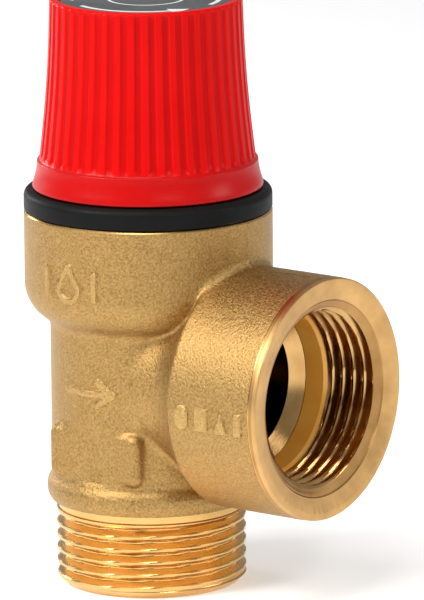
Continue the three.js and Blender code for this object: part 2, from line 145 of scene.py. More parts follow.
# label print: radii and half widths, and shares of the third of a turn that one arrow takes
PRINT_R, PRINT_HALF, RING_R, RING_HALF = 10.2, 0.35, 5.2, 0.2
PRINT_TAIL, PRINT_NECK, PRINT_POINT, PRINT_SPREAD = 0.06, 0.72, 0.86, 11.0


# ------------------------------------------------------------------ camera, lights and floor

AZIMUTH, ELEVATION, ROLL = math.radians(37.26), math.radians(12.43), math.radians(-0.53)
CAMERA_DISTANCE = 1113
FOCAL_MM, SENSOR_MM = 480, 36
AIM_HEIGHT, AIM_RIGHT, AIM_UP = 43.25, 8.74, -3.54
WORLD_LIGHT, WORLD_SEEN = 0.34, 1.05
FLOOR_HALF, FLOOR_WHITE, FLOOR_ROUGH, FLOOR_GLOW = 1.5, 0.95, 0.8, 0.33
CLIP_END, LAMP_AIM = 10, 0.04

# name, azimuth and elevation in degrees, distance and size in metres, power in watts
LAMPS = (
    ("key", -25, 40, 0.55, 0.22, 2.2),
    ("front", 20, 66, 0.70, 0.30, 1.5),
    ("side", 118, 18, 0.60, 0.16, 0.5),
    ("mouth", 60, 34, 0.60, 0.10, 0.6),
    ("rim", -100, 14, 0.60, 0.18, 0.8),
)


def camera_axes():
    level = math.cos(ELEVATION)
    back = Vector((math.sin(AZIMUTH) * level, -math.cos(AZIMUTH) * level, math.sin(ELEVATION)))
    right = Vector((math.cos(AZIMUTH), math.sin(AZIMUTH), 0))
    return right, back.cross(right), back


def make_camera():
    right, up, back = camera_axes()
    camera = bpy.data.objects.new("camera", bpy.data.cameras.new("camera"))
    camera.data.lens = FOCAL_MM
    camera.data.sensor_width = SENSOR_MM
    camera.data.clip_end = CLIP_END
    place = back * CAMERA_DISTANCE + right * AIM_RIGHT + up * AIM_UP + Vector((0, 0, AIM_HEIGHT))
    tilted_right = right * math.cos(ROLL) + up * math.sin(ROLL)
    tilted_up = up * math.cos(ROLL) - right * math.sin(ROLL)
    turn = Matrix((tilted_right, tilted_up, back)).transposed().to_4x4()
    camera.matrix_world = Matrix.Translation(place * MM) @ turn
    bpy.context.scene.collection.objects.link(camera)
    bpy.context.scene.camera = camera


def soft_light(name, azimuth, elevation, distance, size, power):
    """A square soft box; azimuth 0 stands in front of the object, on -Y, and 90 on +X."""
    a, e = math.radians(azimuth), math.radians(elevation)
    towards = Vector((math.sin(a) * math.cos(e), -math.cos(a) * math.cos(e), math.sin(e)))
    lamp = bpy.data.objects.new(name, bpy.data.lights.new(name, "AREA"))
    lamp.data.shape = "SQUARE"
    lamp.data.size = size
    lamp.data.energy = power
    lamp.location = towards * distance + Vector((0, 0, LAMP_AIM))
    lamp.rotation_euler = towards.to_track_quat("Z", "Y").to_euler()
    bpy.context.scene.collection.objects.link(lamp)


def make_stage():
    world = bpy.data.worlds.new("studio")
    bpy.context.scene.world = world
    world.use_nodes = True
    tree = world.node_tree
    backdrop = tree.nodes["Background"]
    backdrop.inputs["Color"].default_value = (1, 1, 1, 1)
    seen = tree.nodes.new("ShaderNodeLightPath").outputs["Is Camera Ray"]
    strength = tree.nodes.new("ShaderNodeMapRange")
    strength.inputs["To Min"].default_value = WORLD_LIGHT
    strength.inputs["To Max"].default_value = WORLD_SEEN
    tree.links.new(seen, strength.inputs["Value"])
    tree.links.new(strength.outputs["Result"], backdrop.inputs["Strength"])
    bpy.context.scene.view_settings.view_transform = "Standard"
    for lamp in LAMPS:
        soft_light(*lamp)

    mesh = bpy.data.meshes.new("floor")
    corners = [(x * FLOOR_HALF, y * FLOOR_HALF, 0) for x, y in ((-1, -1), (1, -1), (1, 1), (-1, 1))]
    mesh.from_pydata(corners, [], [(0, 1, 2, 3)])
    floor = bpy.data.objects.new("floor", mesh)
    bpy.context.scene.collection.objects.link(floor)
    paper = bpy.data.materials.new("floor_paper")
    paper.use_nodes = True
    shader = paper.node_tree.nodes["Principled BSDF"]
    shader.inputs["Base Color"].default_value = (FLOOR_WHITE,) * 3 + (1,)
    shader.inputs["Roughness"].default_value = FLOOR_ROUGH
    shader.inputs["Emission Color"].default_value = (1, 1, 1, 1)
    shader.inputs["Emission Strength"].default_value = FLOOR_GLOW
    floor.data.materials.append(paper)


# ------------------------------------------------------------------ material helpers


class Nodes:
    """Short names for the shader nodes that the materials share."""

    def __init__(self, name):
        self.material = bpy.data.materials.new(name)
        self.material.use_nodes = True
        self.tree = self.material.node_tree
        self.shader = self.tree.nodes["Principled BSDF"]
        self.place = self.tree.nodes.new("ShaderNodeTexCoord").outputs["Object"]

    def add(self, kind, **settings):
        node = self.tree.nodes.new(kind)
        for key, value in settings.items():
            setattr(node, key, value)
        return node

    def join(self, output, socket):
        self.tree.links.new(output, socket)

    def feed(self, socket, value):
        if isinstance(value, (int, float)):
            socket.default_value = value
        else:
            self.join(value, socket)

    def math(self, operation, a, b=0.0):
        node = self.add("ShaderNodeMath", operation=operation)
        self.feed(node.inputs[0], a)
        self.feed(node.inputs[1], b)
        return node.outputs[0]

    def distance(self, a, b):
        return self.math("SQRT", self.math("ADD", self.math("MULTIPLY", a, a), self.math("MULTIPLY", b, b)))

    def zone(self, value, low, high):
        """1 where value, in metres, lies between low and high, in millimetres."""
        above, below = self.math("GREATER_THAN", value, low * MM), self.math("LESS_THAN", value, high * MM)
        return self.math("MULTIPLY", above, below)

    def split(self):
        node = self.add("ShaderNodeSeparateXYZ")
        self.join(self.place, node.inputs[0])
        return node.outputs

    def combine(self, x, y, z):
        node = self.add("ShaderNodeCombineXYZ")
        for socket, value in zip(node.inputs, (x, y, z)):
            self.feed(socket, value)
        return node.outputs[0]

    def noise(self, scale, detail=2.0, vector=None, rough=0.5):
        node = self.add("ShaderNodeTexNoise")
        node.inputs["Scale"].default_value = scale
        node.inputs["Detail"].default_value = detail
        node.inputs["Roughness"].default_value = rough
        self.join(vector or self.place, node.inputs["Vector"])
        return node.outputs["Fac"]

    def between(self, fac, low, high, start=0.3, end=0.7):
        """A value or colour that runs from low to high as fac goes from start to end."""
        node = self.add("ShaderNodeValToRGB")
        ends = [(value,) * 3 + (1,) if isinstance(value, (int, float)) else tuple(value) + (1,)
                for value in (low, high)]
        for element, place, colour in zip(node.color_ramp.elements, (start, end), ends):
            element.position = place
            element.color = colour
        self.join(fac, node.inputs["Fac"])
        return node.outputs["Color"]

    def blend(self, fac, a, b):
        node = self.add("ShaderNodeMix", data_type="RGBA")
        self.feed(node.inputs[0], fac)
        self.join(a, node.inputs[6])
        self.join(b, node.inputs[7])
        return node.outputs[2]

    def bump(self, height, distance, strength=1.0, under=None):
        node = self.add("ShaderNodeBump")
        node.inputs["Strength"].default_value = strength
        node.inputs["Distance"].default_value = distance
        self.join(height, node.inputs["Height"])
        if under:
            self.join(under, node.inputs["Normal"])
        return node.outputs["Normal"]

    def finish(self, colour, roughness, normal, metallic=0.0, specular=0.5):
        self.join(colour, self.shader.inputs["Base Color"])
        self.join(roughness, self.shader.inputs["Roughness"])
        self.join(normal, self.shader.inputs["Normal"])
        self.feed(self.shader.inputs["Metallic"], metallic)
        self.feed(self.shader.inputs["Specular IOR Level"], specular)
        return self.material


# ------------------------------------------------------------------ materials


def raised_spots(n):
    """1 on the raised marks of the forging, which are painted lighter as wear and as a painted highlight, 0
    elsewhere.
    """
    x, y, z = n.split()
    rho = n.distance(x, y)
    from_outlet = n.distance(y, n.math("SUBTRACT", z, OUTLET_Z * MM))
    off_head = n.math("GREATER_THAN", rho, (HEAD_R + RELIEF / 2) * MM)
    mark = n.math("MULTIPLY", off_head, n.math("LESS_THAN", x, MARK_ZONE_END * MM))
    arrow = n.math(
        "MULTIPLY", n.zone(rho, WAIST_R + 0.14, ARROW_ZONE_R),
        n.math("MULTIPLY", n.zone(z, *ARROW_ZONE_Z), n.zone(x, *ARROW_ZONE_X)),
    )
    pads = n.math("MULTIPLY", n.zone(from_outlet, COLLAR_R + 0.1, SIGN_ZONE_R), n.zone(x, *SIGN_ZONE_X))
    return n.math("MAXIMUM", n.math("MAXIMUM", mark, arrow), pads)


def forged_brass():
    """Blasted forging: sparkling grain over soft, slightly uneven colour, with marks painted lighter as wear
    and as a painted highlight.
    """
    n = Nodes("forged_brass")
    grain = n.noise(3300, 3, rough=0.62)
    patch = n.noise(240, 3)
    pit = n.noise(1100, 2)
    colour = n.blend(
        0.55, n.between(patch, (0.34, 0.205, 0.066), (0.41, 0.255, 0.090)),
        n.between(grain, (0.24, 0.135, 0.038), (0.76, 0.480, 0.185), 0.33, 0.71),
    )
    # painted highlight: the raised marks are painted lighter brass, partly wear and partly a highlight on
    # their relief
    wear_and_highlight = n.between(grain, (0.54, 0.34, 0.12), (0.80, 0.54, 0.23))
    wear_and_highlight_share = n.math("MULTIPLY", raised_spots(n), 0.4)
    roughness = n.between(grain, 0.34, 0.56)
    normal = n.bump(grain, 0.00013, 0.8, n.bump(pit, 0.00012, 0.45))
    return n.finish(n.blend(wear_and_highlight_share, colour, wear_and_highlight), roughness, normal, metallic=1.0)


def cored_brass_painted_shade():
    """Dull brass of the water ways, painted near-black as painted shade of the deep bores, with slightly
    uneven tone.
    """
    n = Nodes("cored_brass_painted_shade")
    stain = n.noise(500, 3)
    grain = n.noise(2600, 2)
    # painted shade: near-black brass for the shade in the deep water ways
    colour = n.between(stain, (0.016, 0.009, 0.004), (0.040, 0.022, 0.010))
    return n.finish(colour, n.between(grain, 0.5, 0.7), n.bump(grain, 0.00004, 0.5), metallic=1.0)


def tool_marks(n, radius, along, gloss, dull):
    """Roughness and bump of turned metal, and the stain that varies over it."""
    lines = n.noise(9000, 2, n.combine(along, radius, 0.0))
    stain = n.noise(220, 3)
    roughness = n.blend(0.5, n.between(lines, gloss, dull), n.between(stain, gloss, dull))
    return roughness, n.bump(lines, 0.00002, 0.6), stain


def turned_brass():
    """Bright turned brass with tool lines that run round the valve axis."""
    n = Nodes("turned_brass")
    x, y, z = n.split()
    roughness, normal, stain = tool_marks(n, n.distance(x, y), z, 0.20, 0.32)
    colour = n.between(stain, (0.70, 0.42, 0.145), (0.80, 0.50, 0.190))
    return n.finish(colour, roughness, normal, metallic=1.0)


def bored_brass():
    """Outlet mouth: tool lines round the outlet, a band in the bore painted bright orange as a painted
    reflection, and a groove and port painted darker as painted shade.
    """
    n = Nodes("bored_brass")
    x, y, z = n.split()
    radius = n.distance(y, n.math("SUBTRACT", z, OUTLET_Z * MM))
    roughness, normal, stain = tool_marks(n, radius, x, 0.32, 0.46)
    colour = n.between(stain, (0.47, 0.27, 0.098), (0.69, 0.415, 0.162))
    drilled = n.zone(x, STEP_END + 0.1, MINOR_START)
    groove = n.zone(x, GROOVE_START, FACE_X - SINK_DEPTH - 0.08)
    port = n.math("LESS_THAN", x, (PORT_END - 0.05) * MM)
    # painted reflection: the drilled band is painted bright orange, in place of the reflection seen in it
    colour = n.blend(drilled, colour, n.between(stain, (0.92, 0.40, 0.045), (0.98, 0.50, 0.090)))
    # painted shade: the groove up to the countersink is painted a darker brass
    colour = n.blend(groove, colour, n.between(stain, (0.34, 0.180, 0.060), (0.50, 0.28, 0.100)))
    # painted shade: the port is painted near-black
    colour = n.blend(port, colour, n.between(stain, (0.012, 0.006, 0.003), (0.026, 0.013, 0.006)))
    inside = n.math("LESS_THAN", x, GROOVE_START * MM)
    roughness = n.math("SUBTRACT", roughness, n.math("MULTIPLY", inside, 0.2))
    metallic = n.math("SUBTRACT", 1.0, n.math("MULTIPLY", drilled, 0.8))
    return n.finish(colour, roughness, normal, metallic=metallic)


def steel(name, low, high):
    """Bare steel, from a darker to a lighter grey."""
    n = Nodes(name)
    brushed = n.noise(2500, 3)
    cloud = n.noise(300, 2)
    return n.finish(
        n.between(cloud, (low,) * 3, (high,) * 3), n.between(brushed, 0.25, 0.42),
        n.bump(brushed, 0.00001, 0.5), metallic=1.0,
    )


def plastic(name, low, high, gloss, dull, grain_scale, grain_height, specular=0.5):
    n = Nodes(name)
    cloud = n.noise(160, 3)
    grain = n.noise(grain_scale, 3)
    normal = n.bump(grain, grain_height, 0.5)
    return n.finish(n.between(cloud, low, high), n.between(grain, gloss, dull), normal, specular=specular)


def ribbed_red():
    """Glossy red plastic, with painted shade: a deeper red down in the grooves between the ribs and on the
    skirt.
    """
    n = Nodes("red_plastic")
    x, y, z = n.split()
    turn = n.math("MULTIPLY", n.math("ARCTAN2", y, x), RIBS / (2 * math.pi))
    along_rib = n.math("SUBTRACT", n.math("FLOORED_MODULO", turn, 1.0), 0.5)
    from_rib = n.math("MULTIPLY", n.math("ABSOLUTE", along_rib), 2.0)
    ribbed = n.zone(z, RIBS_LOW, RIBS_HIGH)
    groove = n.math("MULTIPLY", n.between(from_rib, 0.0, 1.0, RIB_FLAT, RIB_FLAT + RIB_EDGE), ribbed)
    cloud = n.noise(160, 3)
    grain = n.noise(900, 3)
    face = n.between(cloud, (0.61, 0.0022, 0.0016), (0.66, 0.0032, 0.0024))
    # painted shade: a deeper red for the shade in the rib grooves and on the skirt
    painted_shade_red = n.between(cloud, (0.48, 0.0012, 0.0010), (0.52, 0.0018, 0.0014))
    skirt = n.math("LESS_THAN", z, RIBS_LOW * MM)
    colour = n.blend(n.math("MAXIMUM", groove, skirt), face, painted_shade_red)
    roughness = n.between(grain, 0.28, 0.36)
    specular = n.math("ADD", n.math("MULTIPLY", skirt, 0.10), 0.09)
    return n.finish(colour, roughness, n.bump(grain, 0.000006, 0.5), specular=specular)


def label_print():
    """Grey disc printed with three arrows that run round it and a plain inner ring."""
    n = Nodes("label_print")
    x, y, _ = n.split()
    radius = n.distance(x, y)
    third = n.math("FRACT", n.math("MULTIPLY", n.math("ARCTAN2", y, x), 3 / (2 * math.pi)))
    head = n.math("MULTIPLY", n.math("SUBTRACT", PRINT_POINT, third), PRINT_SPREAD * MM)
    body = n.math("MULTIPLY", n.math("LESS_THAN", third, PRINT_NECK), PRINT_HALF * MM)
    tip = n.math("MULTIPLY", n.math("GREATER_THAN", third, PRINT_NECK), head)
    half = n.math("MULTIPLY", n.math("GREATER_THAN", third, PRINT_TAIL), n.math("ADD", body, tip))
    arrows = n.math("LESS_THAN", n.math("ABSOLUTE", n.math("SUBTRACT", radius, PRINT_R * MM)), half)
    inner = n.zone(radius, RING_R - RING_HALF, RING_R + RING_HALF)
    ink = n.math("MAXIMUM", arrows, inner)
    grain = n.noise(1800, 2)
    ground = n.between(n.noise(200, 2), (0.060, 0.062, 0.066), (0.085, 0.087, 0.090))
    white = n.between(grain, (0.74, 0.74, 0.73), (0.82, 0.82, 0.81))
    return n.finish(n.blend(ink, ground, white), n.between(grain, 0.32, 0.46), n.bump(grain, 0.000008, 0.4))


# ------------------------------------------------------------------ mesh helpers


def make_object(name, vertices, faces, materials=(), index=0):
    mesh = bpy.data.meshes.new(name)
    mesh.from_pydata((np.asarray(vertices) * MM).tolist(), [], faces)
    for material in materials:
        mesh.materials.append(material)
    mesh.polygons.foreach_set("material_index", [index] * len(mesh.polygons))
    mesh.update()
    thing = bpy.data.objects.new(name, mesh)
    bpy.context.scene.collection.objects.link(thing)
    return thing


def shade(thing, angle=32):
    thing.data.polygons.foreach_set("use_smooth", [True] * len(thing.data.polygons))
    thing.data.set_sharp_from_angle(angle=math.radians(angle))
    thing.data.update()


def combine(thing, other, operation):
    """Joins or cuts thing with other, which is used up."""
    modifier = thing.modifiers.new("cut", "BOOLEAN")
    modifier.operation = operation
    modifier.solver = "MANIFOLD"
    modifier.object = other
    bpy.context.view_layer.update()
    result = bpy.data.meshes.new_from_object(thing.evaluated_get(bpy.context.evaluated_depsgraph_get()))
    thing.modifiers.clear()
    old = thing.data
    thing.data = result
    bpy.data.meshes.remove(old)
    bpy.data.objects.remove(other)


def no_groove(angle, height):
    return 0 * angle


def spin(profile, sides, groove=no_groove, closed=False):
    """Vertices and faces of a profile of (radius, height, groove depth) rows turned about Z.

    groove gives the share of each row's depth that is cut away at an angle and a height. An open
    profile starts and ends on the axis.
    """
    angles = np.arange(sides) * 2 * math.pi / sides
    vertices, rows = [], []
    for radius, height, depth in profile:
        first = len(vertices)
        if radius < 1e-9:
            vertices.append((0, 0, height))
            rows.append([first] * sides)
            continue
        r = radius - depth * groove(angles, height)
        vertices.extend(zip(r * np.cos(angles), r * np.sin(angles), np.full(sides, height)))
        rows.append(list(range(first, first + sides)))
    if closed:
        rows.append(rows[0])
    faces = []
    for low, high in zip(rows, rows[1:]):
        for i in range(sides):
            j = (i + 1) % sides
            corners = [low[i], low[j], high[j], high[i]]
            faces.append([c for k, c in enumerate(corners) if c != corners[k - 1]])
    return np.array(vertices, float), faces


def plain(*points):
    return [(r, z, 0.0) for r, z in points]


def arc(centre_r, centre_z, radius, start, end, steps=6):
    """Rows round a quarter or so of a circle, angles in degrees from the outward direction."""
    angles = np.radians(np.linspace(start, end, steps + 1))
    return [(centre_r + radius * math.cos(a), centre_z + radius * math.sin(a), 0.0) for a in angles]


def thread_groove(width, shift=0.0):
    """Share of thread depth at an angle and height: a right-hand V groove, width as part of a pitch."""
    def groove(angles, height):
        turn = np.mod((height - shift) / PITCH - angles / (2 * math.pi), 1.0)
        from_root = np.abs(turn - 0.5) * 2
        return np.clip((width - from_root) / (width - ROOT_FLAT), 0, 1)
    return groove


def thread_rows(radius, depth, start, end, fade, fade_out=True):
    heights = np.arange(start, end, PITCH / ROWS_PER_PITCH)
    shares = np.clip((heights - start) / fade, 0, 1)
    if fade_out:
        shares = shares * np.clip((end - heights) / fade, 0, 1)
    return [(radius, z, depth * share) for z, share in zip(heights, shares)]


def along_outlet(vertices):
    x, y, z = vertices.T
    return np.stack([z, y, OUTLET_Z - x], axis=1)


def ramp(bore, radius, start, low, high, climbing):
    """Stretch of ring whose low or high face climbs like a helix, counter-clockwise from above."""
    vertices, faces = [], []
    steps = 24
    for i in range(steps + 1):
        turn = RAMP_SPAN * i / steps
        lift = turn * RAMP_RISE
        bottom = low + (lift if climbing == "low" else 0)
        top = high + (lift if climbing == "high" else 0)
        for r, z in ((bore, bottom), (radius, bottom), (radius, top), (bore, top)):
            vertices.append((r * math.cos(start + turn), r * math.sin(start + turn), z))
    for i in range(steps):
        for k in range(4):
            a, b = 4 * i + k, 4 * i + (k + 1) % 4
            faces.append((a, b, b + 4, a + 4))
    last = 4 * steps
    faces += [(3, 2, 1, 0), (last, last + 1, last + 2, last + 3)]
    return np.array(vertices), [tuple(reversed(face)) for face in faces]


# ------------------------------------------------------------------ forged skin as a distance field


def smooth_union(a, b, blend):
    share = np.clip(0.5 + 0.5 * (b - a) / blend, 0, 1)
    return b + (a - b) * share - blend * share * (1 - share)


def smooth_cut(a, b, blend):
    return -smooth_union(-a, b, blend)


def round_cylinder(rho, along, radius, low, high, edge):
    out = rho - (radius - edge)
    end = np.maximum(low + edge - along, along - (high - edge))
    return np.minimum(np.maximum(out, end), 0) + np.hypot(np.maximum(out, 0), np.maximum(end, 0)) - edge


def round_box(x, y, z, half, edge):
    q = [np.abs(v) - h + edge for v, h in zip((x, y, z), half)]
    outside = np.sqrt(sum(np.maximum(v, 0) ** 2 for v in q))
    return outside + np.minimum(np.maximum.reduce(q), 0) - edge


def segment(u, v, start, end, half):
    """Distance to a bar with round ends between two points of a flattened surface."""
    du, dv = end[0] - start[0], end[1] - start[1]
    t = np.clip(((u - start[0]) * du + (v - start[1]) * dv) / (du * du + dv * dv), 0, 1)
    return np.hypot(u - start[0] - t * du, v - start[1] - t * dv) - half


def flow_arrow(u, v):
    tail, neck, tip, half = (-4.4, 0), (3.4, 0), (3.6, 0), 0.45
    shaft = segment(u, v, tail, neck, half)
    upper = segment(u, v, tip, (1.2, 1.6), half)
    lower = segment(u, v, tip, (1.2, -1.6), half)
    return np.minimum(shaft, np.minimum(upper, lower))


def drop_mark(u, v):
    """Outline of a water drop between two short bars."""
    drop_half, bar_half, bulb_drop, bulb_r, bulb_top, point = 0.38, 0.4, 0.7, 1.7, 0.2, (0, 2.5)
    bulb = np.abs(np.hypot(u, v + bulb_drop) - bulb_r) - drop_half
    bulb = np.maximum(bulb, v - bulb_top)
    left = segment(u, v, (-1.45, 0.1), point, drop_half)
    right = segment(u, v, (1.45, 0.1), point, drop_half)
    bars = segment(np.abs(u), v, (4.2, -1.8), (4.2, 1.8), bar_half)
    return np.minimum(np.minimum(bulb, bars), np.minimum(left, right))


MARK_ANGLE, MARK_Z = math.radians(-92), 44.9
ARROW_ANGLE, ARROW_Z = math.radians(-89), 29.0
SIGN_X, SIGN_GAP, SIGN_ANGLE, SIGN_HALF, SIGN_HIGH = 18.4, 3.3, math.radians(-3), 1.2, 1.6


def signs(u, v):
    """Four plain pads in a row: an oval, a block, a wedge and a bar."""
    oval = np.hypot(u, v * 0.68) - SIGN_HALF
    block = np.maximum(np.abs(u - SIGN_GAP) - SIGN_HALF + 0.15, np.abs(v) - SIGN_HIGH)
    wedge = np.maximum(np.abs(u - 2 * SIGN_GAP) * 0.94 + (v - SIGN_HIGH) * 0.34, -SIGN_HIGH - v)
    bar = np.maximum(np.abs(u - 3 * SIGN_GAP + 0.4) - 0.6, np.abs(v) - SIGN_HIGH)
    return np.minimum(np.minimum(oval, block), np.minimum(wedge, bar))


def forged_skin(p):
    """Distance to the forged surface for points p, before any machining."""
    x, y, z = p[..., 0], p[..., 1], p[..., 2]
    rho = np.hypot(x, y)
    around = np.arctan2(y, x)
    from_outlet = np.hypot(y, z - OUTLET_Z)

    waist = np.maximum(rho - WAIST_R, z - HEAD_TOP)
    head = round_cylinder(rho, z, HEAD_R, HEAD_LOW, HEAD_TOP + 10, HEAD_EDGE)
    skin = smooth_union(waist, head, HEAD_BLEND)

    mark = np.maximum(rho - HEAD_R - RELIEF, drop_mark((around - MARK_ANGLE) * HEAD_R, z - MARK_Z))
    arrow = np.maximum(rho - WAIST_R - RELIEF, flow_arrow((around - ARROW_ANGLE) * WAIST_R, z - ARROW_Z))
    skin = smooth_union(skin, np.minimum(mark, arrow), MARK_BLEND)

    collar = round_cylinder(from_outlet, x, COLLAR_R, COLLAR_X, FACE_X + 10, COLLAR_EDGE)
    turn = np.arctan2(z - OUTLET_Z, -y)
    raised = np.maximum(from_outlet - COLLAR_R - RELIEF, signs(x - SIGN_X, (turn - SIGN_ANGLE) * COLLAR_R))
    collar = smooth_union(collar, raised, MARK_BLEND)
    skin = smooth_union(skin, collar, COLLAR_BLEND)

    flared = np.clip((x - NECK_END) / (COLLAR_X - NECK_END), 0, 1)
    neck = (from_outlet - NECK_R - FLARE * flared ** 2) * 0.85
    neck = np.maximum(neck, np.maximum(-x, x - COLLAR_X - COLLAR_EDGE))
    skin = smooth_union(skin, neck, NECK_BLEND)

    bead = round_cylinder(rho, z, BEAD_R, BEAD_LOW, BEAD_HIGH, BEAD_EDGE)
    skin = smooth_union(skin, bead, BEAD_BLEND)

    pad_z = z - (PAD_LOW + PAD_HIGH) / 2
    pad_high = (PAD_HIGH - PAD_LOW) / 2
    pad = round_box(x, y, pad_z, (PAD_HALF, FLAT_Y, pad_high), PAD_EDGE)
    beyond = round_box(x, np.abs(y) - FLAT_Y - 2, pad_z, (PAD_HALF, 2, pad_high), 0.2)
    skin = smooth_cut(smooth_union(skin, pad, PAD_BLEND), beyond, PAD_BLEND)

    parting = np.maximum(np.abs(y) - PARTING_HALF, skin - PARTING_RELIEF)
    return smooth_union(skin, parting, PARTING_BLEND)


def surface_of(distance, low, high, step):
    """Quad mesh of the zero surface of a distance function, one vertex in each cell that it crosses."""
    axes = [np.arange(a, b + step, step) for a, b in zip(low, high)]
    grid = np.stack(np.meshgrid(*axes, indexing="ij"), axis=-1)
    value = np.concatenate([distance(slab) for slab in np.array_split(grid, 16)])
    inside = value < 0
    cells = tuple(n - 1 for n in value.shape)
    total = np.zeros(cells + (3,))
    count = np.zeros(cells)

    def corner(offset):
        return tuple(slice(o, o + n) for o, n in zip(offset, cells))

    for axis in range(3):
        others = [a for a in range(3) if a != axis]
        for bits in ((0, 0), (0, 1), (1, 0), (1, 1)):
            start = [0, 0, 0]
            start[others[0]], start[others[1]] = bits
            stop = list(start)
            stop[axis] = 1
            a, b = value[corner(start)], value[corner(stop)]
            crossing = inside[corner(start)] != inside[corner(stop)]
            share = np.where(crossing, a / np.where(crossing, a - b, 1), 0)
            place = grid[corner(start)].copy()
            place[..., axis] += share * step
            total += place * crossing[..., None]
            count += crossing
    used = count > 0
    index = np.full(cells, -1)
    index[used] = np.arange(used.sum())
    vertices = total[used] / count[used][:, None]

    faces = []
    for axis in range(3):
        u, v = (axis + 1) % 3, (axis + 2) % 3
        before = [slice(1, n) for n in cells]
        before[axis] = slice(0, cells[axis])
        after = list(before)
        after[axis] = slice(1, cells[axis] + 1)
        here, there = inside[tuple(before)], inside[tuple(after)]
        for forward in (True, False):
            hits = np.argwhere((here & ~there) if forward else (~here & there))
            hits[:, u] += 1
            hits[:, v] += 1
            ring = []
            for du, dv in ((1, 1), (0, 1), (0, 0), (1, 0)):
                cell = hits.copy()
                cell[:, u] -= du
                cell[:, v] -= dv
                ring.append(index[tuple(cell.T)])
            quads = np.stack(ring, axis=1)
            faces.append(quads if forward else quads[:, ::-1])
    return vertices, np.concatenate(faces)


def settle(vertices, distance):
    """Moves the vertices onto the zero surface itself."""
    rounds, nudge, least_slope, longest_step = 2, 0.02, 0.25, 0.2
    for _ in range(rounds):
        value = distance(vertices)
        slope = np.stack([
            (distance(vertices + shift) - distance(vertices - shift)) / (2 * nudge)
            for shift in np.eye(3) * nudge
        ], axis=1)
        size = np.maximum((slope ** 2).sum(axis=1), least_slope)
        step = np.clip(value / size, -longest_step, longest_step)
        vertices = vertices - slope * step[:, None]
    return vertices


# ------------------------------------------------------------------ valve body


def head_trim():
    """Everything above the head, with a small chamfer round its rim."""
    chamfer, past = 0.22, 0.6
    out, low, end = HEAD_R + CUTTER_OUT, HEAD_TOP - chamfer - past, HEAD_TOP + CUTTER_END
    return spin(plain(
        (0, HEAD_TOP), (HEAD_R - chamfer, HEAD_TOP), (HEAD_R + past, low), (out, low), (out, end), (0, end),
    ), 160)


def face_trim():
    """Everything past the outlet face, with the turned band round it."""
    edge, out, end = COLLAR_R - FACE_CHAMFER, COLLAR_R + CUTTER_OUT, FACE_X + CUTTER_END
    vertices, faces = spin(plain(
        (0, FACE_X), (edge - 0.05, FACE_X), (COLLAR_R - 0.06, FACE_X - FACE_CHAMFER),
        (COLLAR_R - 0.04, BAND_START), (out, BAND_START - 0.5), (out, end), (0, end),
    ), 160)
    return along_outlet(vertices), faces


def foot_trim():
    """Everything below the forged skin, where the machined inlet takes over."""
    out, low = BEAD_R + 4, 5
    return spin(plain((0, low), (out, low), (out, SKIN_LOW), (0, SKIN_LOW)), 96)


def inlet_end():
    """Machined inlet: chamfered tip, male thread, plain collar that runs up into the forging."""
    thread_start, thread_end, depth, fade, collar_r = 1.0, 10.6, 1.05, 0.8, 13.15
    rows = plain((0, 0), (INLET_TIP, 0), (MAJOR - 0.05, thread_start - 0.05))
    rows += thread_rows(MAJOR, depth, thread_start, thread_end, fade)
    rows += plain((MAJOR, thread_end), (collar_r - 0.15, thread_end + 0.15), (collar_r - 0.1, SKIN_LOW - 0.5))
    rows += plain((collar_r, SKIN_LOW - 0.25), (collar_r, SKIN_LOW + 1), (0, SKIN_LOW + 1))
    return spin(rows, 144, thread_groove(THREAD_WIDTH))


def inside_cut():
    """Inlet bore, raised seat, discharge chamber and the mouth for the bonnet."""
    below, chamfer = -1, 0.4
    mouth = INLET_BORE + chamfer
    return spin(plain(
        (0, below), (mouth, below), (mouth, 0), (INLET_BORE, chamfer), (INLET_BORE, INLET_BORE_TOP),
        (SEAT_BORE, SEAT_LOW), (SEAT_BORE, SEAT_TOP), (SEAT_LIP, SEAT_TOP), (SEAT_ROOT, CHAMBER_FLOOR),
        (CHAMBER_R, CHAMBER_FLOOR), (CHAMBER_R, CHAMBER_LEDGE), (CLAMP_R, CHAMBER_LEDGE),
        (CLAMP_R, HEAD_TOP + 1), (0, HEAD_TOP + 1),
    ), 128)


def outlet_cut():
    """Port, the steps of the drill, female thread, relief groove and the flat countersink at the mouth."""
    rows = plain((0, PORT_START), (PORT_R, PORT_START), (PORT_R, PORT_END))
    rows += plain((STEP_R, STEP_END), (DRILL_R, DRILL_END))
    rows += thread_rows(MINOR, MINOR - MAJOR, MINOR_START, GROOVE_START, 0.4, fade_out=False)
    for share in np.linspace(0, 1, 7):
        radius = MINOR + share * (GROOVE_R - MINOR)
        rows.append((radius, GROOVE_START + share * (GROOVE_END - GROOVE_START), min(0, radius - MAJOR)))
    rows += plain((SINK_R - 0.3, FACE_X - SINK_DEPTH - 0.05), (SINK_R, FACE_X - SINK_DEPTH))
    rows += plain((MOUTH_R, FACE_X), (MOUTH_R, FACE_X + 1), (0, FACE_X + 1))
    vertices, faces = spin(rows, 160, thread_groove(THREAD_WIDTH, CREST_SHIFT))
    return along_outlet(vertices), faces


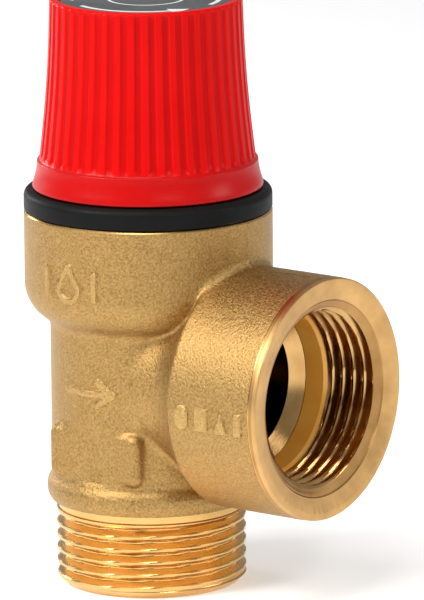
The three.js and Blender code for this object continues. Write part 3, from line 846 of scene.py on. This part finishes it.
def make_body(materials):
    side, end, past = 1.2, 1.1, 0.6
    low = np.array([body_low[0] - side, body_low[1] - side, SKIN_LOW - end])
    high = np.array([FACE_X + end, body_high[1] + side, HEAD_TOP + end])

    def trimmed(p):
        ends = np.maximum(p[..., 2] - HEAD_TOP - past, p[..., 0] - FACE_X - past)
        return np.maximum(forged_skin(p), np.maximum(ends, SKIN_LOW - past - p[..., 2]))

    vertices, faces = surface_of(trimmed, low, high, GRID)
    body = make_object("forged_body", settle(vertices, trimmed), faces.tolist(), materials)
    steps = (
        (head_trim, "DIFFERENCE", 1), (face_trim, "DIFFERENCE", 2), (foot_trim, "DIFFERENCE", 0),
        (inlet_end, "UNION", 1), (inside_cut, "DIFFERENCE", 3), (outlet_cut, "DIFFERENCE", 2),
    )
    for make, operation, index in steps:
        vertices, faces = make()
        combine(body, make_object(make.__name__, vertices, faces, materials, index), operation)
    shade(body)
    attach(body, "valve")
    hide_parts("valve_body")


# ------------------------------------------------------------------ bonnet, knob and label


def make_bonnet(material):
    flange, low, top = bonnet_high[0], bonnet_low[2], 75.0
    flange_low, flange_top, edge = HEAD_TOP + 0.1, 55.95, 1.0
    tube, bore, lower_bore, spigot, bore_low = 11.2, 9.4, 11.2, 15.3, 54.5
    rows = plain((lower_bore, low), (spigot - 0.4, low), (spigot, low + 0.4), (spigot, flange_low))
    rows += plain((flange - 0.25, flange_low), (flange, flange_low + 0.25))
    rows += arc(flange - edge, flange_top - edge, edge, 0, 90, 8)
    rows += plain((tube + 0.8, flange_top), (tube, flange_top + 0.8), (tube, top - 0.2), (tube - 0.2, top))
    rows += plain((bore, top), (bore, bore_low), (lower_bore, bore_low - 1.5))
    vertices, faces = spin(rows, 160, closed=True)
    bonnet = make_object("bonnet_shell", vertices, faces, [material])
    for i in range(RAMPS):
        start = i * 2 * math.pi / RAMPS
        vertices, faces = ramp(bore + 0.02, tube - 0.15, start, top - 0.5, top, "high")
        combine(bonnet, make_object("ramp", vertices, faces, [material]), "UNION")
    shade(bonnet)
    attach(bonnet, "valve")
    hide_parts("bonnet")


def rib_groove(angles, height):
    from_rib = np.abs(np.mod(angles * RIBS / (2 * math.pi), 1.0) - 0.5) * 2
    share = np.clip((from_rib - RIB_FLAT) / RIB_EDGE, 0, 1)
    return share * share * (3 - 2 * share)


def knob_rows():
    """The knob's outline from the mouth's inner edge, up the outside and back down the inside."""
    bottom, top = knob_low[2], knob_high[2]
    skirt, shoulder, shoulder_z = knob_high[0], 15.36, bottom + 3.6
    mouth, mouth_high, wall_low, wall_z = 14.4, bottom + 1.5, 12.9, 60
    rows = plain((mouth, bottom), (skirt - 0.25, bottom))
    rows += arc(skirt - 0.25, bottom + 0.2, 0.2, -60, 0, 3)
    for share in np.linspace(0.15, 1, 8):
        flare = (1 - share) ** 1.7
        height = bottom + 0.3 + share * (shoulder_z - bottom - 0.3)
        rows.append((shoulder + (skirt - shoulder) * flare, height, 0.0))
    rows += arc(shoulder - 0.2, shoulder_z + 0.05, 0.2, 15, 80, 4)
    cone_low, cone_high, bow, round_top = 15.0, 13.36, 0.3, 0.5
    crown = top - round_top
    for share in np.linspace(0, 1, 30):
        z = RIBS_LOW + share * (crown - RIBS_LOW)
        radius = cone_low + (cone_high - cone_low) * share - bow * math.sin(math.pi * share)
        rows.append((radius, z, RIB_DEPTH * min(1, (z - RIBS_LOW) / 0.5)))
    for turn in np.radians(np.linspace(15, 90, 7)):
        depth = RIB_DEPTH * max(0, 1 - math.sin(turn) * 1.2)
        radius = cone_high - round_top + round_top * math.cos(turn)
        rows.append((radius, crown + round_top * math.sin(turn), depth))
    recess, recess_floor, pocket, pocket_floor = 12.1, 81.85, 5.4, 79.2
    hub, hub_low, ceiling, wall = 6.6, 75.6, 79.3, 11.6
    rows += plain((recess + 0.15, top), (recess, top - 0.15), (recess, recess_floor), (pocket, recess_floor))
    rows += plain((pocket, pocket_floor), (RUNNING_R, pocket_floor), (RUNNING_R, hub_low), (hub, hub_low))
    rows += plain((hub, ceiling), (wall, ceiling), (wall_low, wall_z), (mouth, mouth_high))
    return rows


def make_knob(material):
    vertices, faces = spin(knob_rows(), RIBS * 10, rib_groove, closed=True)
    knob = make_object("red_knob", vertices, faces, [material])
    bore, radius, low, high = 9.5, 12.0, 75.3, 79.8
    for i in range(RAMPS):
        start = i * 2 * math.pi / RAMPS
        vertices, faces = ramp(bore, radius, start, low, high, "low")
        combine(knob, make_object("ramp", vertices, faces, [material]), "UNION")
    shade(knob, 40)
    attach(knob, "knob")
    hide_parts("knob")


def make_label(material):
    low, top, radius, edge = label_low[2], label_high[2], label_high[0], 0.12
    rows = plain((0, low), (radius, low)) + arc(radius - edge, top - edge, edge, 0, 90, 4) + plain((0, top))
    vertices, faces = spin(rows, 160)
    label = make_object("label_plate", vertices, faces, [material])
    shade(label)
    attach(label, "knob")
    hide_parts("label_disc")


# ------------------------------------------------------------------ spring, diaphragm and CAD nodes


def make_spring(material):
    """Coil spring with closed, ground ends."""
    low, high = spring_low[2], spring_high[2]
    wire, mean, turns, closed, closed_pitch = 1.4, 7.5, 5, 1, 2.9
    sides, steps = 16, 320
    section = np.arange(sides) * 2 * math.pi / sides
    open_turns = turns - 2 * closed
    open_rise = high - low - 2 * wire - 2 * closed * closed_pitch
    vertices = []
    for turn in np.linspace(0, turns, steps + 1):
        opened = min(max(turn - closed, 0), open_turns)
        height = low + wire + (turn - opened) * closed_pitch + opened / open_turns * open_rise
        angle = turn * 2 * math.pi
        r = mean + wire * np.cos(section)
        z = np.clip(height + wire * np.sin(section), low, high)
        vertices.extend(zip(r * math.cos(angle), r * math.sin(angle), z))
    last = steps * sides
    faces = [tuple(range(sides)), tuple(range(last + sides - 1, last - 1, -1))]
    for i in range(steps):
        for k in range(sides):
            a, b = i * sides + k, i * sides + (k + 1) % sides
            faces.append((b, a, a + sides, b + sides))
    coil = make_object("coil_spring", vertices, faces, [material])
    shade(coil, 50)
    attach(coil, "valve")
    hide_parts("spring")
    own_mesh(coil)


def make_diaphragm(material):
    """Moulded cup with a clamped rim and a thin wall."""
    low, high, rim = diaphragm_low[2], diaphragm_high[2], diaphragm_high[0]
    rim_top, middle_low = low + 1.2, low + 1.6
    inner_top, inner_low, outer_low, outer_top = 9.6, 10.0, 11.1, 10.6
    wall = np.linspace(0, 1, 8)
    rows = plain((RUNNING_R, middle_low))
    rows += plain(*((inner_top + 0.2 * t, middle_low + (rim_top - middle_low) * t) for t in wall))
    rows += plain((inner_low, low), (rim, low), (rim, rim_top), (outer_low + 0.3, rim_top))
    rows += plain(*((outer_low - 0.3 * t, rim_top + (middle_low - rim_top) * t) for t in wall))
    rows += plain((outer_top, high), (RUNNING_R, high))
    vertices, faces = spin(rows, 96, closed=True)
    cup = make_object("rolling_diaphragm", vertices, faces, [material])
    shade(cup)
    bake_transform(cup)
    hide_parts("diaphragm")


def dress(materials):
    """Gives the CAD nodes that still show the material of their slot."""
    slots = {part["node"]: part["material_slot"] for part in frame["record"]["subparts"]}
    for name, node in frame["nodes"].items():
        if node.material_slots:
            node.material_slots[0].material = materials[slots[name]]
        else:
            node.data.materials.append(materials[slots[name]])


# ------------------------------------------------------------------ assembly

make_camera()
make_stage()

MATERIALS = {
    "forged_brass": forged_brass(),
    "turned_brass": turned_brass(),
    "steel": steel("steel", 0.48, 0.62),
    "spring_steel": steel("spring_steel", 0.34, 0.46),
    "black_nylon": plastic("black_nylon", (0.004,) * 3, (0.007,) * 3, 0.42, 0.56, 2600, 0.00002, 0.11),
    "white_nylon": plastic("white_nylon", (0.72, 0.70, 0.62), (0.80, 0.78, 0.71), 0.35, 0.5, 2600, 0.00001),
    "rubber": plastic("rubber", (0.009,) * 3, (0.016,) * 3, 0.6, 0.8, 3500, 0.00002),
    "red_plastic": ribbed_red(),
    "label_grey": label_print(),
}

dress(MATERIALS)
make_body([MATERIALS["forged_brass"], MATERIALS["turned_brass"], bored_brass(), cored_brass_painted_shade()])
make_bonnet(MATERIALS["black_nylon"])
make_knob(MATERIALS["red_plastic"])
make_label(MATERIALS["label_grey"])
make_spring(MATERIALS["spring_steel"])
make_diaphragm(MATERIALS["rubber"])
